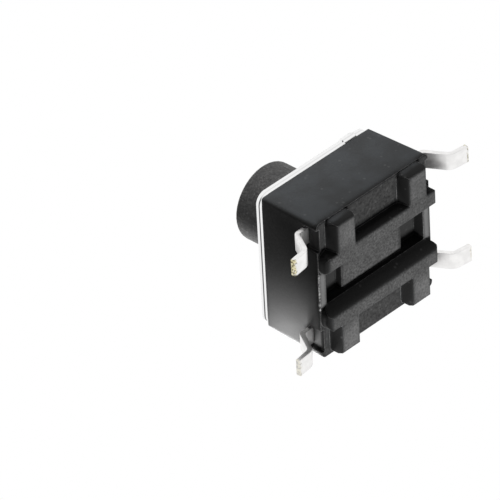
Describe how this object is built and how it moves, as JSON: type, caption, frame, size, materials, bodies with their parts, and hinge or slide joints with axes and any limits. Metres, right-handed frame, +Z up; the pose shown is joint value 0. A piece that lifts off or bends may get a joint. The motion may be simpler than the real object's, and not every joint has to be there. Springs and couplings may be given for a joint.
{
  "type": "tactile push button switch",
  "caption": "Surface-mount tactile push button switch: square black base with gull-wing leads, metal cover and a round sprung button.",
  "frame": {"origin": "on the board the switch is soldered to, under the middle of the button", "axes": "+Z up along the button, away from the board; the leads leave the base along +X and -X"},
  "size_m": [0.0094, 0.006, 0.0061],
  "materials": {
    "base_plastic": "fine spark-eroded mould texture, black",
    "tinned_strip": "matte tin plating, bare alloy on the cut ends",
    "spring_steel": "bright rolled spring steel",
    "button_plastic": "fine matte mould texture, black",
    "cover_steel": "bright stamped sheet with a sheared edge"
  },
  "bodies": {
    "switch_body": {"base_housing": "base_plastic", "rim_terminal": "tinned_strip", "centre_terminal": "tinned_strip", "snap_dome": "spring_steel", "cover_plate": "cover_steel"},
    "button": {"plunger": "button_plastic"}
  },
  "joints": [
    {"name": "button_press", "type": "slide", "parent": "switch_body", "child": "button", "axis": [0, 0, -1], "range_m": [0, 0.00025], "stiffness_N_per_m": 6400, "deforming": ["snap_dome"]}
  ]
}
